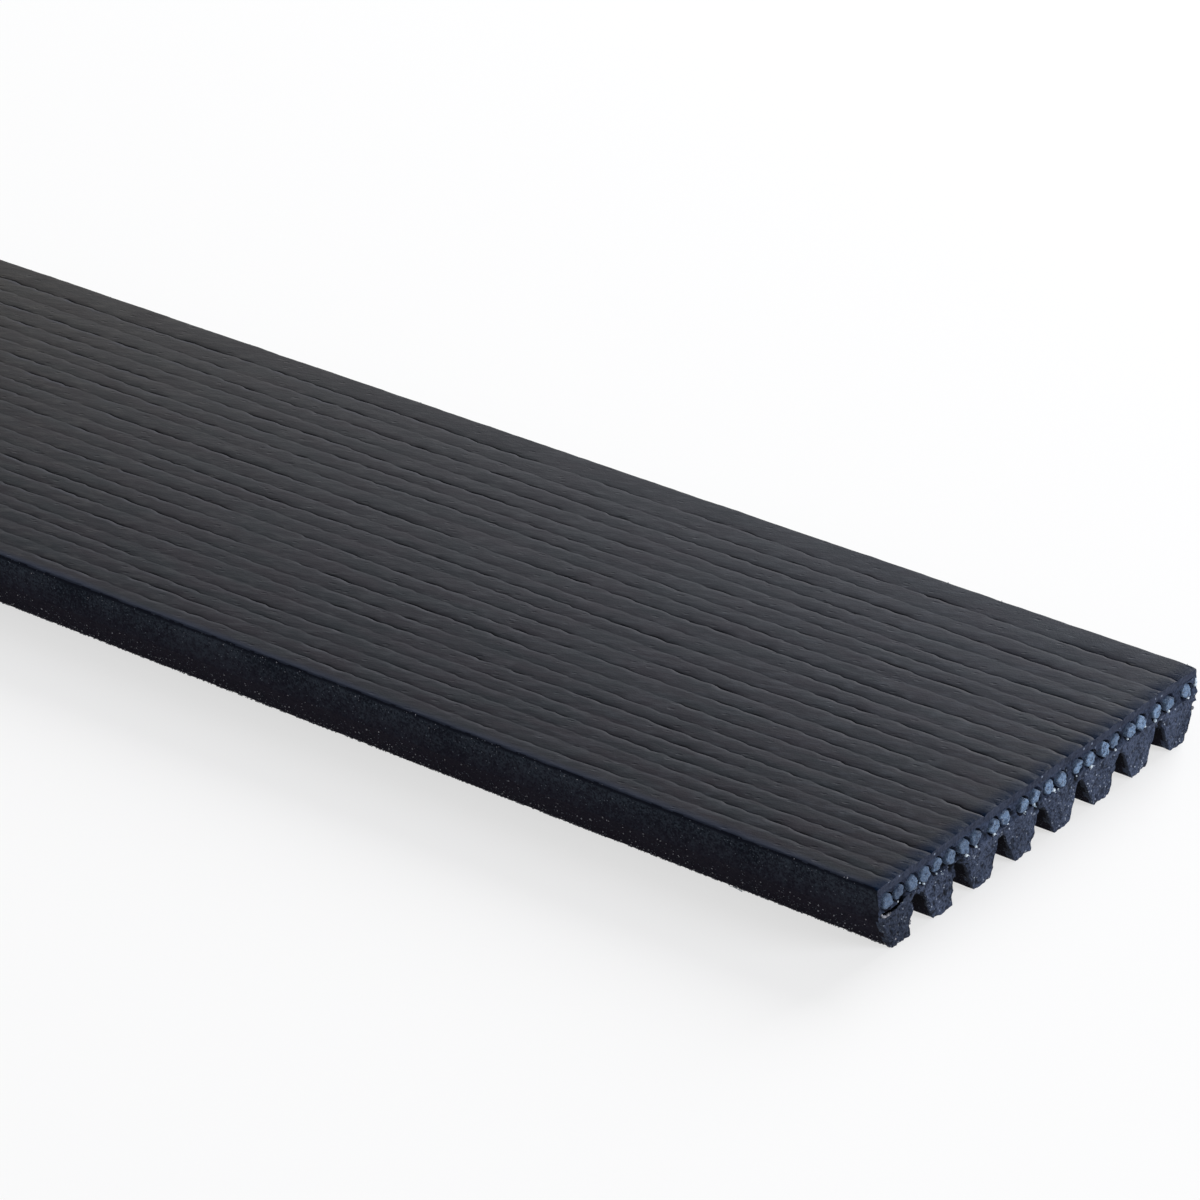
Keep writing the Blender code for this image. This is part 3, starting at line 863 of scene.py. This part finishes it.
cords = {
    "sides": 30, "faceRings": (0.05, 0.09, 0.09, 0.09), "loops": 60,
    "plies": 3, "ply": 0.07, "lay": 9.0,       # depth of the lines between the plies, length of a turn
    "dome": 0.05, "rough": 0.08, "roughSizes": (0.24, 0.10), "tilt": 0.08, "rimDrop": 0.05, "rimFilm": 1.2,
    "cutReach": 1.7,                           # how far from the cuts the strands still spread
    # how much of each cord's face the blade covered with a film of rubber
    "films": (0.80, 1.00, 0.75, 0.80, 0.65, 0.70, 0.75, 0.90, 0.35, 0.40, 0.25, 0.35,
              0.20, 0.25, 0.05, 0.15, 0.05, 0.60, 0.25, 0.05, 0.00, 0.45, 0.30),
}


def makeFirstCord(s):
    cord = rod(s["sides"], cordRadius, 2 * cutEnd, (0, 0, 0))
    centres, normals = readFaces(cord)
    with editing(cord, "FACE", np.abs(normals[:, 0]) > 0.9):
        for ring in s["faceRings"]:
            bpy.ops.mesh.inset(thickness=ring * mm, use_individual=True)
        bpy.ops.mesh.poke()
    with editing(cord, "EDGE", spans(cord, 0) > cutEnd):
        bpy.ops.mesh.subdivide(number_cuts=s["loops"])
    return cord


def layCord(cord, n, s):
    # twists the plies, one way and the other by turns, and finishes the two cut faces
    y, z = cordPlaces[n]
    proud = cordBoxes[n][1][0] - cutEnd
    points = readPoints(cord)
    radius = np.hypot(points[:, 1], points[:, 2])
    angle = np.arctan2(points[:, 2], points[:, 1])
    hand = 1 if n % 2 else -1
    twist = hand * 2 * math.pi * points[:, 0] / (s["lay"] * mm) + n
    share = radius / cordRadius
    lines = np.abs(np.sin(s["plies"] / 2 * (angle - twist)))
    radius = radius * (1 - s["ply"] * share ** 3 * (1 - lines) ** 2)
    side = np.sign(points[:, 0])
    atCut = smoothstep(cutEnd - s["cutReach"] * mm, cutEnd, np.abs(points[:, 0]))
    spot = np.stack([side * cutEnd + n * 3 * mm, radius * np.cos(angle), radius * np.sin(angle)], axis=1)
    reach = proud + s["dome"] * (1 - share ** 2) * mm - s["dome"] * 0.6 * (1 - lines) ** 3 * share * mm
    wide, small = (size * mm for size in s["roughSizes"])
    reach += s["rough"] * (lumps(spot, wide, n) + 0.6 * lumps(spot, small, n + 50)) * mm
    reach += s["tilt"] * spot[:, 2] / cordRadius * math.sin(1.9 * n) * mm
    reach -= s["rimDrop"] * smoothstep(0.86, 1.0, share) * mm
    wearAndRimHighlight = 0.16 * smoothstep(0.5, 1.0, share) * lumps(spot, 0.3 * mm, n + 80) - 0.02
    x = points[:, 0] + side * atCut * reach
    radius = radius * (1 + atCut * wearAndRimHighlight)
    writePoints(cord, np.stack([x, y + radius * np.cos(angle), z + radius * np.sin(angle)], axis=1))
    # the blade dragged rubber over the rim, more of it here and less there
    dragged = smoothstep(0.80, 1.02, share + 0.30 * lumps(spot, 0.34 * mm, n + 110))
    return np.maximum(s["films"][n], s["rimFilm"] * dragged)


firstCord = makeFirstCord(cords)
strands = [firstCord] + [copyOf(firstCord) for place in cordPlaces[1:]]
for n, strand in enumerate(strands):
    strand.name = strand.data.name = "cord%02d" % (n + 1)
    storeShare(strand, "film", layCord(strand, n, cords))
    strand.data.materials.append(yarnMaterial)
    finishPiece(strand, "tensile_cord_%02d" % (n + 1), 60)
print("cords made:", len(strands))


# Filaments that the blade broke off, partly painted glints, and crumbs of rubber

fray = {
    "width": 0.055, "bend": 0.25, "cuts": 2, "length": (0.10, 0.24), "fibres": 16,
    # ends of filaments under the cords, pale and partly painted glints: across, height, radius
    "glints": (
        (-12.65, 2.58, 0.06), (-11.22, 2.70, 0.13), (-10.72, 2.74, 0.08), (-10.40, 2.56, 0.10),
        (-9.35, 2.64, 0.07), (-8.90, 2.52, 0.06), (-6.74, 2.44, 0.11), (-5.86, 2.55, 0.10),
        (-4.28, 2.57, 0.12), (-3.10, 2.60, 0.07), (-1.55, 2.60, 0.06), (-0.73, 2.64, 0.10),
        (0.97, 2.72, 0.12), (1.40, 2.58, 0.06), (3.05, 2.60, 0.06), (4.41, 2.52, 0.11),
        (5.70, 2.56, 0.06), (6.61, 2.52, 0.10), (7.72, 2.68, 0.09), (9.39, 2.66, 0.08),
        (10.32, 2.60, 0.13), (11.54, 2.62, 0.12), (13.43, 2.56, 0.11),
    ),
    # a cord that the side cut laid open, at the far corner
    "tuft": ((14.08, 3.10, 0.13), (14.14, 3.28, 0.12), (14.10, 3.44, 0.09), (14.16, 3.18, 0.10)),
    # a loose filament by the lower edge: along, across, height, length
    "stray": (40.2, -13.32, 0.03, 0.75),
    # crumbs on the rib ends, the lip of the split and the burrs
    "grains": ((-13.98, 2.40, 0.08), (-13.93, 2.32, 0.09), (-13.84, 2.25, 0.10), (-13.73, 2.20, 0.10),
               (-13.62, 2.17, 0.09), (-13.50, 2.16, 0.09), (-13.39, 2.17, 0.08), (-13.27, 2.19, 0.06),
               (-11.64, 0.74, 0.07), (-11.62, 0.88, 0.05), (13.84, 1.75, 0.12), (-12.9, 0.45, 0.07)),
    # grit on the sides: how many on each flank, and on both sides under the top's rims
    "sideGrains": 1600, "rimGrains": 200, "grainSize": (0.018, 0.054), "rimGrainShare": 0.8,
    "flankHeight": 2.0, "flankPower": 6, "rimDepth": (0.02, 0.7),
}


def makeFirstFibre(s):
    deselectAll()
    bpy.ops.mesh.primitive_cone_add(vertices=5, radius1=0.5, radius2=0.16, depth=1, location=(0, 0, 0.5))
    fibre = bpy.context.object
    bpy.ops.object.transform_apply(location=True, rotation=True, scale=True)
    with editing(fibre, "EDGE", spans(fibre, 2) > 0.5):
        bpy.ops.mesh.subdivide(number_cuts=s["cuts"])
    return fibre


def makeFirstCrumb():
    deselectAll()
    bpy.ops.mesh.primitive_ico_sphere_add(subdivisions=1, radius=1)
    crumb = bpy.context.object
    points = readPoints(crumb)
    points *= (1 + 0.5 * lumps(points, 0.9, 5))[:, None]
    writePoints(crumb, points)
    return crumb


def scatter(name, plan):
    # copies the first pieces, places them as the plan says and joins them into one piece
    copies = []
    for first, place, direction, length, width, bend, turn in plan:
        copy = copyOf(first)
        points = readPoints(copy) * (width, width, length)
        points[:, 0] += bend * length * (points[:, 2] / length) ** 2
        writePoints(copy, points)
        facing = Vector(direction).to_track_quat("Z", "Y").to_matrix().to_4x4()
        copy.data.transform(Matrix.Translation(place) @ facing @ Matrix.Rotation(turn, 4, "Z"))
        copies.append(copy)
    joined = joinAll(copies)
    joined.name = joined.data.name = name
    turnFacesOut(joined)
    return joined


def planFilaments(s, fibre, crumb):
    dice = random.Random(23)
    plan = []
    for side in (1, -1):
        for across, height, radius in s["glints"] + s["tuft"]:
            place = (side * (cutEnd + dice.uniform(-0.02, 0.04) * mm), across * mm, height * mm)
            plan.append((crumb, place, (side, dice.uniform(-0.4, 0.4), dice.uniform(-0.4, 0.4)),
                         radius * dice.uniform(0.8, 1.2) * mm, radius * dice.uniform(0.7, 1.0) * mm,
                         0.0, dice.uniform(0, 6.28)))
        for _ in range(s["fibres"]):
            across, height, radius = dice.choice(s["glints"] + s["tuft"])
            place = (side * (cutEnd - 0.03 * mm), (across + dice.uniform(-0.10, 0.10)) * mm,
                     (height + dice.uniform(-0.08, 0.08)) * mm)
            out = (side * dice.uniform(0.4, 1.0), dice.uniform(-0.5, 0.8), dice.uniform(-0.9, 0.3))
            plan.append((fibre, place, out, dice.uniform(*s["length"]) * mm, s["width"] * mm,
                         dice.uniform(-1, 1) * s["bend"], dice.uniform(0, 6.28)))
    along, across, height, length = s["stray"]
    plan.append((fibre, (along * mm, across * mm, height * mm), (-0.8, -0.3, 0.5), length * mm,
                 1.2 * s["width"] * mm, 0.3, 0.0))
    return plan


def planGrains(s, crumb):
    # grit that the grinder left on the outer flanks, denser towards the rib tips, and under the top's rims
    dice = random.Random(31)
    plan = []
    for side in (1, -1):
        for across, height, radius in s["grains"]:
            place = (side * (cutEnd + 0.01 * mm), across * mm, height * mm)
            plan.append((crumb, place, (side, 0.8, 0.0), radius * dice.uniform(0.8, 1.3) * mm, radius * mm,
                         0.0, dice.uniform(0, 6.28)))
    tipEdge = ribs["tipFlat"] / 2
    flankRun = math.tan(math.radians(ribs["grooveAngle"] / 2))
    ribMiddle = backSide / mm - (backSide - frontSide) / mm / ribs["count"] / 2
    flankGrains = 2 * s["sideGrains"]
    for k in range(flankGrains + s["rimGrains"]):
        side = -1 if k % 2 else 1
        if k < flankGrains:
            height = s["flankHeight"] * dice.random() ** s["flankPower"]
            across = ribMiddle + tipEdge + height * flankRun
        else:
            height, across = backHigh[2] / mm - dice.uniform(*s["rimDepth"]), backSide / mm - 0.01
        size = dice.uniform(*s["grainSize"]) * (1.0 if k < flankGrains else s["rimGrainShare"])
        place = (dice.uniform(-cutEnd, cutEnd), side * across * mm, max(height, size) * mm)
        plan.append((crumb, place, (1, side * 0.4, 0.2), size * dice.uniform(0.8, 1.6) * mm, size * mm, 0.0,
                     dice.uniform(0, 6.28)))
    return plan


firstFibre, firstCrumb = makeFirstFibre(fray), makeFirstCrumb()
filaments = scatter("brokenFilamentsAndGlints", planFilaments(fray, firstFibre, firstCrumb))
filaments.data.materials.append(brokenYarnAndGlintMaterial)
finishPiece(filaments, angle=60)
grains = scatter("tornGrains", planGrains(fray, firstCrumb))
grains.data.materials.append(gritMaterial)
finishPiece(grains, angle=30)
for first in (firstFibre, firstCrumb):
    bpy.data.objects.remove(first, do_unlink=True)
print("crumbs and filaments made:", len(filaments.data.polygons) + len(grains.data.polygons), "faces")


# Floor, light and camera

studio = {
    "ambient": 0.35, "floorSize": 6.0, "floorHeight": -0.02, "floorWhite": "#f4f4f4", "floorGlow": 0.65,
    "key": {"place": (-0.10, 0.90, 0.38), "size": 0.6, "watts": 12.0, "colour": "#ffffff"},
    "side": {"place": (0.80, 0.25, 0.35), "size": 0.5, "watts": 5.5, "colour": "#f6f8ff"},
}


def whiteRays(tree):
    # 1 where the camera, a gloss or a clear thing looks at the background
    rays = addNode(tree, "LightPath").outputs
    seen = rays["Is Camera Ray"]
    for kind in ("Is Glossy Ray", "Is Transmission Ray"):
        seen = addNode(tree, "Math", {"operation": "MAXIMUM"}, {0: seen, 1: rays[kind]})
    return seen


def makeFloor(s):
    deselectAll()
    bpy.ops.mesh.primitive_plane_add(size=s["floorSize"], location=(0, 0, s["floorHeight"] * mm))
    floor = bpy.context.object
    floor.name = "studioFloor"
    material, tree, shader = newMaterial("white studio paper")
    paper = addNode(tree, "BsdfDiffuse", {"Color": linear(s["floorWhite"])})
    glow = addNode(tree, "Emission", {"Color": (1, 1, 1, 1), "Strength": 1.0})
    seen = addNode(tree, "Math", {"operation": "MULTIPLY", 1: s["floorGlow"]}, {0: whiteRays(tree)})
    both = addNode(tree, "MixShader", links={0: seen, 1: paper, 2: glow})
    setUp(tree, tree.nodes["Material Output"], links={"Surface": both})
    floor.data.materials.append(material)


def makeWorld(s):
    world = bpy.data.worlds.new("studio surround")
    bpy.context.scene.world = world
    world.use_nodes = True
    tree = world.node_tree
    tree.nodes.clear()
    level = addNode(tree, "MapRange", {"To Min": s["ambient"], "To Max": 1.0}, {"Value": whiteRays(tree)})
    sky = addNode(tree, "Background", {"Color": (1, 1, 1, 1)}, {"Strength": level})
    addNode(tree, "OutputWorld", links={"Surface": sky})


def addSoftbox(name, s):
    lamp = bpy.data.lights.new(name, "AREA")
    lamp.shape = "DISK"
    lamp.size = s["size"]
    lamp.energy = s["watts"]
    lamp.color = linear(s["colour"])[:3]
    box = bpy.data.objects.new(name, lamp)
    box.location = s["place"]
    box.rotation_euler = (-Vector(s["place"])).to_track_quat("-Z", "Y").to_euler()
    bpy.context.collection.objects.link(box)


view = {
    "place": (0.21345, -0.22154, 0.1648), "turn": 41.178, "down": 28.481, "roll": -2.923,
    "lens": 180.52, "sensor": 36.0,
}


def addCamera(s):
    lens = bpy.data.cameras.new("photo view")
    lens.sensor_width = s["sensor"]
    lens.lens = s["lens"]
    lens.clip_start = 0.01
    lens.clip_end = 20.0
    camera = bpy.data.objects.new("photo view", lens)
    turn, down, roll = (math.radians(s[key]) for key in ("turn", "down", "roll"))
    ahead = Vector((-math.sin(turn) * math.cos(down), math.cos(turn) * math.cos(down), -math.sin(down)))
    right = Vector((math.cos(turn), math.sin(turn), 0.0))
    up = right.cross(ahead)
    rolledRight = math.cos(roll) * right + math.sin(roll) * up
    rolledUp = math.cos(roll) * up - math.sin(roll) * right
    facing = Matrix((rolledRight, rolledUp, -ahead)).transposed().to_4x4()
    camera.matrix_world = Matrix.Translation(s["place"]) @ facing
    bpy.context.collection.objects.link(camera)
    bpy.context.scene.camera = camera


makeFloor(studio)
makeWorld(studio)
addSoftbox("key softbox", studio["key"])
addSoftbox("side softbox", studio["side"])
addCamera(view)
bpy.context.scene.view_settings.view_transform = "Standard"
print("studio made")
